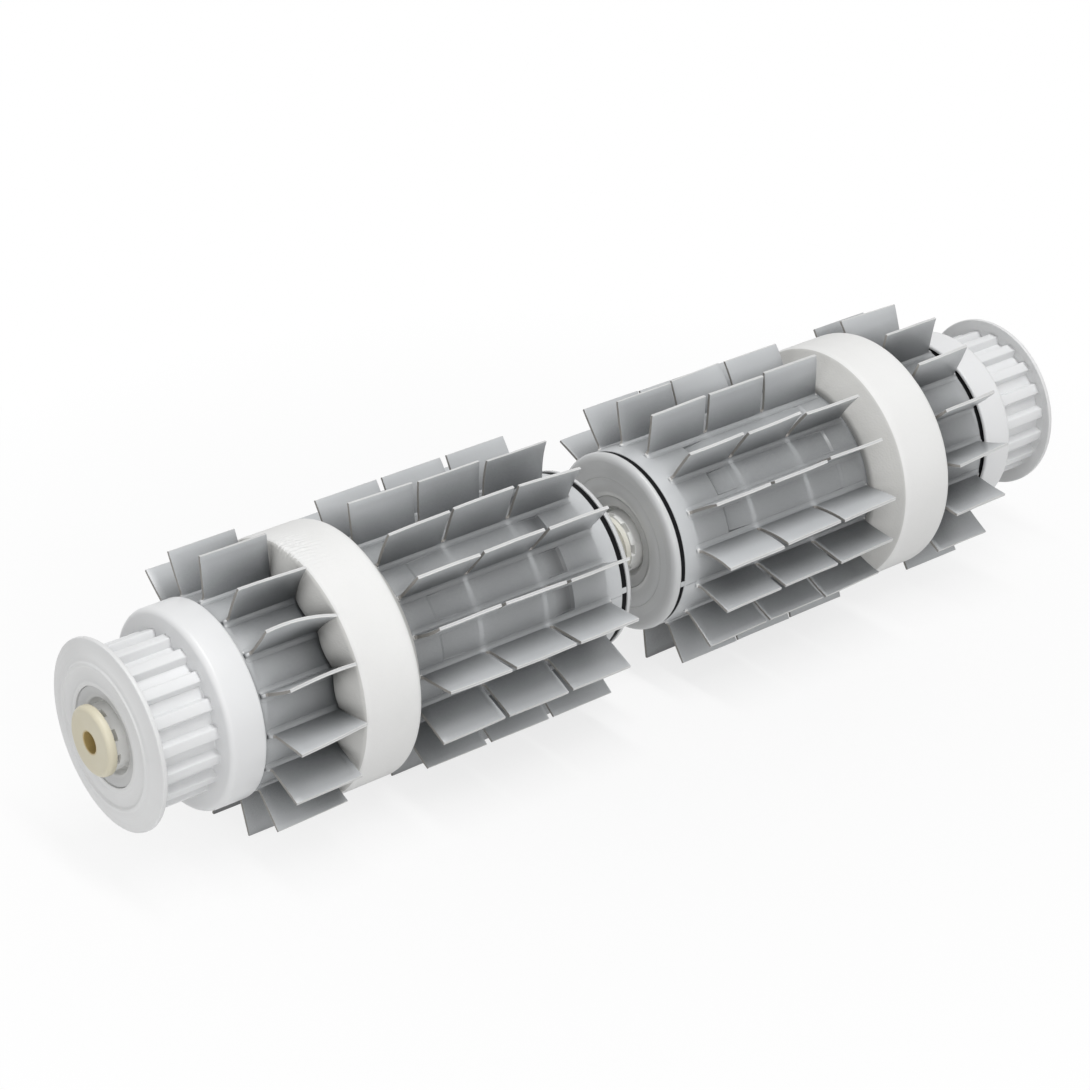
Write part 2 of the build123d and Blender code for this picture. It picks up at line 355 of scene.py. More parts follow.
# what a moulding has unless its own look says otherwise: fineness of the clouds in its colour and gloss and
# of the slow waves in its surface, strength of waves and grain
mouldedLook = {
    "driftScale": 38.0, "glossScale": 300.0, "waveScale": 45.0, "waves": 0.2, "waveDepth": 0.12,
    "grainStrength": 0.4, "specular": 0.5,
}


def moulded(name, ownLook):
    # soft clouds of colour, uneven gloss, slow waves and a fine moulded grain
    look = {**mouldedLook, **ownLook}
    material = newMaterial(name, look["shades"][0], look["roughness"][0], look["specular"])
    drifting(material, look["driftScale"], look["shades"])
    spots = clouds(material, look["glossScale"], 2.0)
    gloss = stretchRange(material, spots, 0.2, 0.8, *look["roughness"])
    link(material, gloss, shaderInput(material, "Roughness"))
    broad = bumpFrom(material, clouds(material, look["waveScale"], 1.0), look["waves"], look["waveDepth"])
    grain = clouds(material, look["grain"], 2.0, 0.6)
    fine = bumpFrom(material, grain, look["grainStrength"], look["grainDepth"], broad)
    link(material, fine, shaderInput(material, "Normal"))
    if "cavity" in look:
        sheltered(material, look["cavity"], look["cavityReach"], *look["cavityLight"])
    if "paintedRimShade" in look:
        paintedShadeTowardsRim(material, *look["rimBand"], look["paintedRimShade"])
    return material


brushLook = {
    "shades": [(0.530, 0.544, 0.555), (0.500, 0.514, 0.525)], "roughness": (0.30, 0.37), "specular": 0.8,
    "grain": 1500.0, "grainDepth": 0.012,
    "cavity": (0.085, 0.090, 0.094), "cavityReach": 18.0, "cavityLight": (0.33, 0.88),
    # painted shade of a lock pocket's deep end, and the places from which and up to which it fades
    "pocket": (0.115, 0.120, 0.124), "pocketFade": (38.5, 44.2),
}
brushCutLook = {
    "shades": [(0.300, 0.288, 0.270), (0.250, 0.240, 0.225)], "roughness": (0.55, 0.7),
    "grain": 2400.0, "grainDepth": 0.05,
}
# painted highlight for the fins' tip corners, the foot noses and the slit floors
brushPaintedHighlightLook = {
    "shades": [(0.66, 0.66, 0.65), (0.57, 0.57, 0.56)], "roughness": (0.45, 0.6),
    "grain": 2400.0, "grainDepth": 0.04,
}


def makeBrushPocketPaintedShade():
    # painted shade on the floors of the left half's inner lock pockets, darker towards their deep ends
    material = moulded("brushPocketPaintedShade", brushLook)
    along = addNode(material, "ShaderNodeSeparateXYZ")
    link(material, objectPlace(material), along.inputs[0])
    fromMiddle = addNode(material, "ShaderNodeMath", operation="ABSOLUTE")
    link(material, along.outputs["X"], fromMiddle.inputs[0])
    deepest, shallowest = brushLook["pocketFade"]
    slope = stretchRange(material, fromMiddle.outputs[0], deepest * mm, shallowest * mm)
    blendedIn(material, brushLook["pocket"], slope)
    return material


brushGrey = moulded("brushGrey", brushLook)
brushCut = moulded("brushCutEdge", brushCutLook)
brushPaintedHighlight = moulded("brushPaintedHighlightEdge", brushPaintedHighlightLook)
brushPocketPaintedShade = makeBrushPocketPaintedShade()

foamLook = {
    "driftScale": 30.0, "cavityReach": 12.0, "cavityLight": (0.25, 0.85), "poreDepth": 0.12,
    "lumpScale": 220.0, "lumpStrength": 0.3, "lumpDepth": 0.25,
    # the tread has a closed skin, and the cut sides show open cells; the sides are painted darker, painted
    # shade that falls on them
    "tread": {
        "shades": [(0.775, 0.775, 0.768), (0.745, 0.744, 0.735)], "roughness": 0.85,
        "cavity": (0.27, 0.27, 0.265), "poreScale": 1700.0, "poreStrength": 0.35,
    },
    "side": {
        "shades": [(0.58, 0.578, 0.562), (0.55, 0.547, 0.530)], "roughness": 0.9,
        "cavity": (0.24, 0.24, 0.232), "poreScale": 1400.0, "poreStrength": 0.5,
    },
}


def makeFoam(name, look):
    material = newMaterial(name, look["shades"][0], look["roughness"])
    drifting(material, foamLook["driftScale"], look["shades"])
    sheltered(material, look["cavity"], foamLook["cavityReach"], *foamLook["cavityLight"])
    pores = addNode(material, "ShaderNodeTexVoronoi", Scale=look["poreScale"])
    link(material, objectPlace(material), pores.inputs["Vector"])
    poreBump = bumpFrom(material, pores.outputs["Distance"], look["poreStrength"], foamLook["poreDepth"])
    lumps = clouds(material, foamLook["lumpScale"], 4.0, 0.6)
    lumpBump = bumpFrom(material, lumps, foamLook["lumpStrength"], foamLook["lumpDepth"], poreBump)
    link(material, lumpBump, shaderInput(material, "Normal"))
    return material


foamWhite = makeFoam("foamWhite", foamLook["tread"])
foamPaintedSideShade = makeFoam("foamSideWithPaintedShade", foamLook["side"])

# a rim band is the two radii between which the painted rim shade takes over
# the cap's bead is painted lighter than its rim, painted light
capLook = {
    "shades": [(0.60, 0.608, 0.612), (0.58, 0.588, 0.592)], "roughness": (0.18, 0.24),
    "grain": 900.0, "grainDepth": 0.004, "waves": 0.05,
    "rimBand": (23.0, 27.0), "paintedRimShade": (0.56, 0.568, 0.572),
}
# the hub's recess wall is painted darker, painted shade in the recess
hubLook = {
    "shades": [(0.76, 0.76, 0.745), (0.73, 0.73, 0.715)], "roughness": (0.28, 0.36),
    "grain": 900.0, "grainDepth": 0.01, "waves": 0.05,
    "rimBand": (11.8, 14.5), "paintedRimShade": (0.50, 0.506, 0.508),
}
pulleyLook = {
    "shades": [(0.745, 0.751, 0.757), (0.72, 0.725, 0.731)], "roughness": (0.33, 0.38),
    "grain": 700.0, "grainDepth": 0.004, "waves": 0.0,
}
# the bush is painted darker and ochre towards and in its bore, painted shade in the bore
bushLook = {
    "shades": [(0.63, 0.59, 0.46), (0.59, 0.545, 0.41)], "roughness": (0.34, 0.5),
    "grain": 900.0, "grainDepth": 0.02,
    "rimBand": (4.6, 3.7), "paintedRimShade": (0.46, 0.34, 0.13),
}
tubeLook = {
    "shades": [(0.008, 0.008, 0.009), (0.013, 0.013, 0.014)], "roughness": (0.38, 0.55), "specular": 0.03,
    "grain": 1200.0, "grainDepth": 0.02,
}
joinerLook = {
    "shades": [(0.76, 0.75, 0.68), (0.72, 0.705, 0.63)], "roughness": (0.34, 0.46),
    "grain": 900.0, "grainDepth": 0.02,
}
washerLook = {
    "shades": [(0.43, 0.35, 0.25), (0.36, 0.28, 0.19)], "roughness": (0.7, 0.9),
    "grain": 2600.0, "grainDepth": 0.05,
}
capGrey = moulded("capGrey", capLook)
hubWhite = moulded("hubWhite", hubLook)
pulleyWhite = moulded("pulleyWhite", pulleyLook)
bushCream = moulded("bushCream", bushLook)
tubeBlack = moulded("tubeBlack", tubeLook)
joinerCream = moulded("joinerCream", joinerLook)
washerTan = moulded("washerTan", washerLook)

flangeLook = {
    "shades": [(0.70, 0.704, 0.706), (0.67, 0.674, 0.674)], "roughness": (0.28, 0.45), "driftScale": 50.0,
    "lineScale": 1400.0, "lineStrength": 0.35, "lineDepth": 0.05,
}


def makeFlangeWhite():
    # fine turned lines round the axis, in the surface and in the gloss
    material = newMaterial("flangeWhite", flangeLook["shades"][0], flangeLook["roughness"][0])
    drifting(material, flangeLook["driftScale"], flangeLook["shades"])
    lines = addNode(material, "ShaderNodeTexNoise", noise_dimensions="1D", Detail=3.0)
    lines.inputs["Scale"].default_value = flangeLook["lineScale"]
    link(material, radialDistance(material), lines.inputs["W"])
    turned = bumpFrom(material, lines.outputs["Fac"], flangeLook["lineStrength"], flangeLook["lineDepth"])
    link(material, turned, shaderInput(material, "Normal"))
    gloss = stretchRange(material, lines.outputs["Fac"], 0.3, 0.7, *flangeLook["roughness"])
    link(material, gloss, shaderInput(material, "Roughness"))
    return material


flangeWhite = makeFlangeWhite()
print("materials made")


# Brush sleeves

sleeve = {
    "radius": 33.2, "bore": 32.1, "lip": 0.6, "start": 14.5, "end": 104.8,
    "segments": [(21.2, 47.0), (48.9, 74.7), (76.6, 102.4)],
    # deep end, foot of its wall, shallow end of each ring of lock pockets
    "pockets": [(35.7, 36.9, 44.9), (93.0, 91.8, 83.8)], "pocketHalfTurn": 8.0, "pocketEdge": 0.22,
    "innerPocketDepth": 1.0, "outerPocketDepth": 0.5,
    "softEdge": 0.14, "softAngle": 18.0,
    "shortStart": 136.1, "shortEnd": {"right": 164.3, "left": 164.9},
    "shortFin": (136.1, 161.9), "shortFootEnd": 164.1,
    "rows": 15, "pitch": 24.0, "firstRow": 6.7, "steps": 180, "stepShift": 0.7,
    "seam": {"right": 99.7, "left": 87.6}, "seamHalfTurn": 0.95,
    "seamEdge": 0.36, "seamWall": 0.02, "seamDepth": 0.12,
    "tabWidth": 2.2, "tabEnd": 12.65, "tabLap": 0.5, "tabSink": 0.05, "tabRound": 0.2,
}
fin = {
    "tipRadius": 49.7, "thickness": 1.2, "length": 25.8, "lengthCuts": 8, "heightCuts": 7,
    "edgeRound": 0.16, "tipLine": 0.30, "tipLineDepth": 0.10,
    # the slit's rounded floor: its height over the sleeve, half the slit's width, levels of the rounding
    "slitFloor": 1.3, "slitHalf": 0.95, "freeToe": 0.7, "toeLevels": (0.0, 0.12, 0.32, 0.60, 0.95),
    # bands at ends and tip with their own shade or shape, and the share of the tip's line that shows; the
    # tip's corners get a painted highlight
    "cutBand": 0.4, "tipBand": 0.25, "toeBand": 0.3, "lineShare": 0.6,
    # share of a lean that is straight from the root, and a slight ripple along each fin
    "straightShare": 0.45, "ripple": 0.10, "rippleTurns": 5.0,
}
foot = {
    "reach": 1.2,
    # half width and height over the sleeve, from the outer edge to the fin's root
    "section": [
        (2.45, -0.20), (2.35, 0.02), (1.90, 0.11), (1.30, 0.25), (0.90, 0.55), (0.62, 1.10), (0.42, 1.32),
    ],
    # rings of the rounded nose at each end: distance from the end, share of the height, share of the width
    "nose": [(1.1, 0.94, 0.98), (0.5, 0.72, 0.90), (0.15, 0.42, 0.78), (0.0, 0.10, 0.66)],
    # the places with a painted highlight: length of the nose, and heights from which nose and top are
    # painted light
    "lightNose": 1.0, "noseLevel": 0.35, "topLevel": 1.25,
}

# how far the fin tips lean from their rows, in degrees: at the corner with the lower x, at the other, bow.
# The rows that the photo shows, from the one behind the first row on, over the viewer's side
leanOf = {
    "left": {
        "outer": [
            (-0.6, -0.8), (-0.3, 1.0), (2.5, 1.6), (-0.3, -0.2),
            (-3.0, -3.0), (-0.9, 0.0), (0.9, -0.1), (-3.7, -2.3),
        ],
        "middle": [
            (0.0, -1.3), (2.2, 2.4), (1.2, 0.8), (-0.6, -0.7),
            (-3.1, -2.3), (-0.2, -0.2), (0.2, 0.5), (-3.2, -1.6),
        ],
        "inner": [
            (0.3, -0.9), (4.7, 5.2), (1.4, 3.3), (-0.4, -0.2),
            (-2.2, -2.0), (-0.1, -0.1), (0.0, 0.2), (-1.9, -2.7),
        ],
        "outboard": [
            None, (0.7, 1.0), (2.6, 3.5), (-1.1, 2.4, -1.5),
            (-1.4, -2.0, -0.6), (0.5, -1.9), (0.7, -0.3), (0.2, -5.1),
        ],
    },
    "right": {
        "inner": [
            (1.8, 0.9), (-0.2, -0.8), (1.4, 0.9), (1.2, 0.8), (4.7, 4.2), (0.7, -0.1), (-0.5, -3.1),
        ],
        "middle": [
            (-1.2, -5.1), (-0.9, -0.5), (1.7, 1.0), (0.9, 0.4), (3.5, 2.6), (-0.6, -0.9), (-3.3, -3.8),
        ],
        "outer": [
            (-3.4, -3.8), (-2.4, -2.0), (2.4, 2.8), (-0.2, 0.0), (3.2, 2.1), (-0.7, -2.1), (-3.2, -5.8),
        ],
        "outboard": [
            (-3.6, -0.4), (1.2, 1.4), (-1.3, -1.9), (-1.5, -2.2), (-0.7, -2.4), (-1.2, -1.8),
        ],
    },
}
# the rows that the photo doesn't show wander a little, each length of fins from its own start
wander = {
    "starts": {"outer": 0.4, "middle": 1.7, "inner": 2.9, "outboard": 4.1},
    "lean": 1.6, "leanTurns": 3.0, "twist": 0.6, "twistTurns": 5.0, "bow": 0.3,
}


def leanFor(side, segment, angle):
    rearmost = halves[side] * sleeve["firstRow"] - sleeve["pitch"]
    row = round(apart(angle, rearmost) / sleeve["pitch"]) % sleeve["rows"]
    seen = leanOf[side][segment]
    if row < len(seen) and seen[row]:
        return seen[row] if len(seen[row]) == 3 else (*seen[row], 0.0)
    start = wander["starts"][segment]
    swing = sin(radians(angle) * wander["leanTurns"] + start) * wander["lean"]
    twist = sin(radians(angle) * wander["twistTurns"] + start) * wander["twist"]
    return (swing, swing + twist, wander["bow"] * sin(angle + start))


def cutAcross(x):
    bpy.ops.mesh.select_all(action="SELECT")
    bpy.ops.mesh.bisect(plane_co=place(x, 0), plane_no=(1, 0, 0))


def makeBaseFin():
    height = fin["tipRadius"] - sleeve["radius"]
    centre = place(0, sleeve["radius"] + height / 2)
    piece = box("baseFin", centre, (fin["length"], fin["thickness"], height))
    startEdit(piece)
    half = fin["length"] / 2
    for cut in range(1, fin["lengthCuts"]):
        cutAcross(fin["length"] * cut / fin["lengthCuts"] - half)
    levels = [height * cut / fin["heightCuts"] for cut in range(1, fin["heightCuts"])]
    levels += [fin["slitFloor"] + level for level in fin["toeLevels"]]
    for level in levels:
        bpy.ops.mesh.select_all(action="SELECT")
        bpy.ops.mesh.bisect(plane_co=place(0, sleeve["radius"] + level), plane_no=(0, 0, 1))

    def onRim(a, b):
        atTip = min(a.z, b.z) > fin["tipRadius"] - 0.01
        atEnd = min(abs(a.x), abs(b.x)) > half - 0.01
        alongEdge = abs(abs(a.y) - abs(b.y)) < 0.01 and a.y * b.y > 0
        return (atTip or atEnd) and alongEdge

    # soft cut edges round the free outline
    pickEdges(onRim)
    bpy.ops.mesh.bevel(offset=fin["edgeRound"] * mm, segments=2, affect="EDGES")
    # the faint line along the middle of the tip
    pickFaces(lambda centre, normal: centre.z > fin["tipRadius"] - 0.01 and normal.z > 0.95)
    bpy.ops.mesh.inset(thickness=fin["tipLine"] * mm, depth=0.0, use_boundary=True)
    bpy.ops.transform.translate(value=(0, 0, -fin["tipLineDepth"] * mm))
    endEdit()
    dress(piece, brushGrey, brushCut, brushPaintedHighlight)
    for face in piece.data.polygons:
        centre = face.center / mm
        if abs(face.normal.x) > 0.9 and abs(centre.x) > half - fin["cutBand"]:
            face.material_index = 1
        # the tip's corners beside the faint line get a painted highlight
        elif centre.z > fin["tipRadius"] - fin["tipBand"] and face.normal.z > 0.2:
            lineHalf = fin["thickness"] / 2 - fin["edgeRound"] - fin["tipLine"] * fin["lineShare"]
            face.material_index = 0 if abs(centre.y) < lineHalf else 2
    return piece


def makeBaseFoot(start, end, name, paintedGlintNoses):
    # one raised strip along the sleeve, under a whole row of fins
    section = foot["section"] + [(-width, rise) for width, rise in reversed(foot["section"])]
    spots = [Vector((start * mm, width * mm, (sleeve["radius"] + rise) * mm)) for width, rise in section]
    piece = drawn(name, spots)
    bpy.ops.mesh.select_all(action="SELECT")
    bpy.ops.mesh.edge_face_add()
    bpy.ops.mesh.extrude_region_move(TRANSFORM_OT_translate={"value": ((end - start) * mm, 0, 0)})
    for inset, rise, width in foot["nose"][:-1]:
        cutAcross(start + inset)
        cutAcross(end - inset)
    endEdit()
    for point in piece.data.vertices:
        fromEnd = min(point.co.x / mm - start, end - point.co.x / mm)
        for inset, rise, width in foot["nose"]:
            if abs(fromEnd - inset) < 0.01:
                lift = point.co.z / mm - sleeve["radius"]
                point.co.z = (sleeve["radius"] + (lift * rise if lift > 0 else lift)) * mm
                point.co.y *= width
    finishedSeams(piece)
    dress(piece, brushGrey, brushCut, brushPaintedHighlight)
    # the top shows only in the slits, where it gets a painted highlight as the noses do
    for face in piece.data.polygons:
        centre = face.center / mm
        fromEnd = min(centre.x - start, end - centre.x)
        level = centre.z - sleeve["radius"]
        onNose = paintedGlintNoses and fromEnd < foot["lightNose"] and level > foot["noseLevel"]
        if onNose or level > foot["topLevel"]:
            face.material_index = 2
    return piece


def toeReach(level):
    # how far the rounded root of a slit reaches under it, at a height over the slit's floor
    share = min(1.0, max(0.0, 1.0 - level / fin["slitHalf"]))
    return fin["slitHalf"] * (1.0 - (1.0 - share * share) ** 0.5)


def leanedFin(baseFin, lean, angle, middle, inSlit):
    twin = copyOf(baseFin, "finCopy")
    root = sleeve["radius"]
    height = fin["tipRadius"] - root
    for point in twin.data.vertices:
        spot = point.co / mm
        if abs(spot.x) > fin["length"] / 2 - fin["toeBand"]:
            share = 1.0 if inSlit[1 if spot.x > 0 else 0] else fin["freeToe"]
            reach = share * toeReach(spot.z - root - fin["slitFloor"])
            spot.x += reach if spot.x > 0 else -reach
            point.co.x = spot.x * mm
        along = spot.x / fin["length"] + 0.5
        rise = max(0.0, min(1.0, (spot.z - root) / height))
        tip = lean[0] * (1 - along) + lean[1] * along + lean[2] * 4 * along * (1 - along)
        ripple = fin["ripple"] * sin(along * fin["rippleTurns"] + angle) * rise
        bend = fin["straightShare"] * rise + (1 - fin["straightShare"]) * rise * rise
        turn = radians(tip * bend + ripple)
        # a soft fin bends about its root and keeps its length
        point.co.y = (spot.y * cos(turn) - spot.z * sin(turn)) * mm
        point.co.z = (spot.y * sin(turn) + spot.z * cos(turn)) * mm
    turned = Matrix.Translation((middle * mm, 0, 0)) @ Matrix.Rotation(radians(angle), 4, "X")
    twin.data.transform(turned)
    return twin


def makeSleeveBody(side, start, end, pockets, innerLip):
    sign = halves[side]
    outer = sleeve["radius"]
    outline = [(start, sleeve["bore"]), (start, outer, sleeve["lip"]) if innerLip else (start, outer)]
    for marks in pockets:
        outline += [(mark, outer) for mark in sorted(marks)]
    outline += [(end, outer, sleeve["lip"]), (end, sleeve["bore"])]
    outline = [(sign * row[0], *row[1:]) for row in outline]
    piece = lathe("sleeveBody", outline, sleeve["steps"], sign * sleeve["stepShift"])
    dress(piece, brushGrey, brushCut, brushPaintedHighlight, brushPocketPaintedShade)
    firstRow = sign * sleeve["firstRow"]

    def inPocket(centre, normal):
        if radiusOf(normal) < 0.9 or radiusOf(centre) < outer - 0.1:
            return False
        offRow = apart(angleOf(centre), firstRow) % sleeve["pitch"] - sleeve["pitch"] / 2
        inRing = any(min(marks) < sign * centre.x < max(marks) for marks in pockets)
        return inRing and abs(offRow) < sleeve["pocketHalfTurn"]

    def pocketDepth(x):
        for deepEnd, wallFoot, shallowEnd in pockets:
            if min(deepEnd, shallowEnd) < x < max(deepEnd, shallowEnd):
                onWall = (x - deepEnd) / (wallFoot - deepEnd)
                onFloor = (x - shallowEnd) / (wallFoot - shallowEnd)
                deepest = sleeve["innerPocketDepth"] if deepEnd < shallowEnd else sleeve["outerPocketDepth"]
                return deepest * min(onWall, onFloor)
        return 0.0

    if pockets:
        startEdit(piece, "FACE")
        pickFaces(inPocket)
        bpy.ops.mesh.inset(thickness=sleeve["pocketEdge"] * mm, depth=0.0)
        grid = bmesh.from_edit_mesh(piece.data)
        innerEnd = -sleeve["segments"][1][0]
        # only the left half's inner pocket floors get the painted shade
        for face in grid.faces:
            if face.select and side == "left" and face.calc_center_median().x / mm > innerEnd:
                face.material_index = 3
        for point in grid.verts:
            if point.select:
                deep = 1.0 - pocketDepth(sign * point.co.x / mm) / outer
                point.co.y *= deep
                point.co.z *= deep
        bmesh.update_edit_mesh(piece.data)
        endEdit()

    def onSeam(centre, normal):
        if any(min(marks) < sign * centre.x < max(marks) for marks in pockets):
            return False
        onTop = radiusOf(normal) > 0.999 and radiusOf(centre) > outer - 0.1
        return onTop and abs(apart(angleOf(centre), sleeve["seam"][side])) < sleeve["seamHalfTurn"]

    # butt joint of the wrapped sheet
    startEdit(piece, "FACE")
    pickFaces(onSeam)
    bpy.ops.mesh.inset(thickness=sleeve["seamEdge"] * mm, depth=0.0, use_boundary=True)
    bpy.ops.mesh.inset(thickness=sleeve["seamWall"] * mm, depth=-sleeve["seamDepth"] * mm)
    endEdit()
    softened(piece, sleeve["softEdge"], sleeve["softAngle"])
    smoothByAngle(piece)
    return piece


def makeEndTab(side):
    # tab of the sheet beside its joint, over the bare tube as far as the cap
    reach = sleeve["start"] - sleeve["tabEnd"] + sleeve["tabLap"]
    level = (sleeve["bore"] + sleeve["radius"]) / 2 - sleeve["tabSink"]
    centre = place(halves[side] * (sleeve["tabEnd"] + reach / 2), level)
    tab = box("endTab", centre, (reach, sleeve["tabWidth"], sleeve["radius"] - sleeve["bore"]))
    softened(tab, sleeve["tabRound"])
    rolled(tab, sleeve["seam"][side] - degrees(sleeve["tabWidth"] / 2 / sleeve["radius"]))
    dress(tab, brushGrey, brushCut, brushPaintedHighlight)
    smoothByAngle(tab)
    return tab


def makeSleeve(side, kind, baseFin, baseFoot):
    sign = halves[side]
    if kind == "long":
        start, end, pockets = sleeve["start"], sleeve["end"], sleeve["pockets"]
        runs = dict(zip(("inner", "middle", "outer"), sleeve["segments"]))
        slits = {"inner": (False, True), "middle": (True, True), "outer": (True, False)}
    else:
        start, end, pockets = sleeve["shortStart"], sleeve["shortEnd"][side], []
        runs = {"outboard": sleeve["shortFin"]}
        slits = {"outboard": (False, False)}
    parts = [makeSleeveBody(side, start, end, pockets, kind == "long")]
    if kind == "long":
        parts.append(makeEndTab(side))
    for row in range(sleeve["rows"]):
        angle = sign * (sleeve["firstRow"] + row * sleeve["pitch"])
        strip = copyOf(baseFoot, "footCopy")
        if side == "left":
            swappedEnds(strip)
        rolled(strip, angle)
        parts.append(strip)
        for segment, (finStart, finEnd) in runs.items():
            middle = sign * (finStart + finEnd) / 2
            inSlit = slits[segment] if sign > 0 else slits[segment][::-1]
            parts.append(leanedFin(baseFin, leanFor(side, segment, angle), angle, middle, inSlit))
    return joined(parts, f"{side}{kind.capitalize()}Sleeve")


baseFin = makeBaseFin()
smoothByAngle(baseFin, 30)
finsStart, finsEnd = sleeve["segments"][0][0], sleeve["segments"][-1][1]
longFoot = makeBaseFoot(finsStart - foot["reach"], finsEnd + foot["reach"], "longFoot", True)
shortFoot = makeBaseFoot(sleeve["shortFin"][0], sleeve["shortFootEnd"], "shortFoot", False)
smoothByAngle(longFoot, 45)
smoothByAngle(shortFoot, 45)
for side in halves:
    for kind, strip in (("long", longFoot), ("short", shortFoot)):
        piece = makeSleeve(side, kind, baseFin, strip)
        handOver(piece, f"{side}_roller", f"{side}_{kind}_brush_sleeve")
for helper in (baseFin, longFoot, shortFoot):
    bpy.data.objects.remove(helper)
print("brush sleeves made")


# Foam climbing rings

foam = {
    "bore": 32.3, "rootStart": 104.4, "rootEnd": 135.8, "treadStart": 111.75, "treadEnd": 133.95,
    "radius": 46.0, "rootRadius": 35.4, "edge": 1.5, "rootRound": 0.9, "sideNormal": 0.62,
    "steps": {"left": 720, "right": 360}, "sideCuts": 10, "treadCuts": 14,
    # distances from the tread's corners at which the cuts of a side and of the tread begin
    "innerSide": (-1.2, -2.2), "outerSide": (0.3, -2.4), "treadInset": 2.4,
    # foam that swells between the outboard fins, fading out towards the tread
    "pillow": {"left": 2.1, "right": 1.05}, "pillowPower": 2.4, "pillowBack": 0.3, "pillowFrom": 5.0,
    "fadeStart": 35.0, "fadeLength": 10.5,
    # slow hand-cut unevenness of the tread: heights of its waves, and where it starts
    "swell": (0.10, 0.06), "swellStart": 40.0, "swellLength": 6.0,
}
# patches of fine creases on top of the left tread: angle and x of the middle, reach in degrees and mm
creases = {
    "innermost": 43.0,
    "straight": {"angle": 2.0, "turn": 13.0, "x": 131.0, "width": 7.0, "height": 0.24},
    "swirl": {"angle": 8.0, "turn": 7.0, "x": 124.0, "width": 5.0, "height": 0.12, "ringsPerMm": 3.1},
    # waves across the straight patch: phase per degree, phase per mm from startX, share of the height
    "waves": [(2.9, 0.35, 1.0), (4.7, -0.5, 0.6)], "startX": 130.0, "mmPerDegree": 0.8,
}


def cutsBetween(first, second, cuts):
    rows = []
    for cut in range(1, cuts + 1):
        share = cut / (cuts + 1)
        rows.append(tuple(a + (b - a) * share for a, b in zip(first[:2], second[:2])))
    return rows


def foamOutline():
    radius, start, end, inset = foam["radius"], foam["treadStart"], foam["treadEnd"], foam["treadInset"]
    innerRoot = (foam["rootStart"], foam["rootRadius"], foam["rootRound"])
    outerRoot = (foam["rootEnd"], foam["rootRadius"], foam["rootRound"])
    innerSide = (start + foam["innerSide"][0], radius + foam["innerSide"][1])
    outerSide = (end + foam["outerSide"][0], radius + foam["outerSide"][1])
    outline = [(foam["rootStart"], foam["bore"]), innerRoot]
    outline += cutsBetween(innerRoot, innerSide, foam["sideCuts"])
    outline.append((start, radius, foam["edge"]))
    outline += cutsBetween((start + inset, radius), (end - inset, radius), foam["treadCuts"])
    outline.append((end, radius, foam["edge"]))
    outline += cutsBetween(outerSide, outerRoot, foam["sideCuts"])
    return outline + [outerRoot, (foam["rootEnd"], foam["bore"])]


def pillowAt(side, angle, radius):
    # how far the outboard side stands out at a place
    halfPitch = sleeve["pitch"] / 2
    offRow = abs(apart(angle, halves[side] * sleeve["firstRow"]) % sleeve["pitch"] - halfPitch) / halfPitch
    lobe = 1.0 - offRow ** foam["pillowPower"]
    past = max(0.0, radius - foam["fadeStart"]) / foam["fadeLength"]
    return (foam["pillow"][side] * lobe - foam["pillowBack"]) * max(0.0, 1.0 - past ** 2)


def nearPatch(patch, angle, x):
    offAngle = apart(angle, patch["angle"]) / patch["turn"]
    offX = (x - patch["x"]) / patch["width"]
    return patch["height"] * exp(-(offAngle ** 2)) * exp(-(offX ** 2))


def creaseAt(angle, x):
    straight, swirl = creases["straight"], creases["swirl"]
    wave = sum(share * sin(angle * turns + slant * (x - creases["startX"]))
               for turns, slant, share in creases["waves"])
    fromCentre = hypot(apart(angle, swirl["angle"]) * creases["mmPerDegree"], x - swirl["x"])
    rings = sin(fromCentre * swirl["ringsPerMm"])
    return nearPatch(straight, angle, x) * wave + nearPatch(swirl, angle, x) * rings


def swellAt(sign, angle, radius):
    share = max(0.0, min(1.0, (radius - foam["swellStart"]) / foam["swellLength"]))
    slow, fast = foam["swell"]
    return share * (slow * sin(radians(angle) * 2 + sign) + fast * sin(radians(angle) * 5 + 1.0))


def makeFoamRing(side):
    sign = halves[side]
    outline = [(sign * row[0], *row[1:]) for row in foamOutline()]
    piece = lathe(f"{side}FoamRing", outline, foam["steps"][side], roundSteps=6)
    outboard = (foam["treadStart"] + foam["treadEnd"]) / 2 + foam["pillowFrom"]
    for point in piece.data.vertices:
        spot = point.co / mm
        radius, angle, x = radiusOf(spot), angleOf(spot), sign * spot.x
        if radius < foam["bore"] + 0.3:
            continue
        newRadius = radius + swellAt(sign, angle, radius)
        newX = x
        if x > outboard and sleeve["radius"] + 0.2 < radius < foam["radius"]:
            newX += pillowAt(side, angle, radius)
        if side == "left" and radius > creases["innermost"]:
            newRadius += creaseAt(angle, x)
        scale = newRadius / radius
        point.co = Vector((sign * newX, spot.y * scale, spot.z * scale)) * mm
    dress(piece, foamWhite, foamPaintedSideShade)
    # faces that turn along the axis get the sides' painted shade
    for face in piece.data.polygons:
        if abs(face.normal.x) > foam["sideNormal"]:
            face.material_index = 1
    smoothByAngle(piece, 60)
    return piece


for side in halves:
    piece = makeFoamRing(side)
    handOver(piece, f"{side}_roller", f"{side}_foam_ring")
print("foam rings made")


# Middle caps

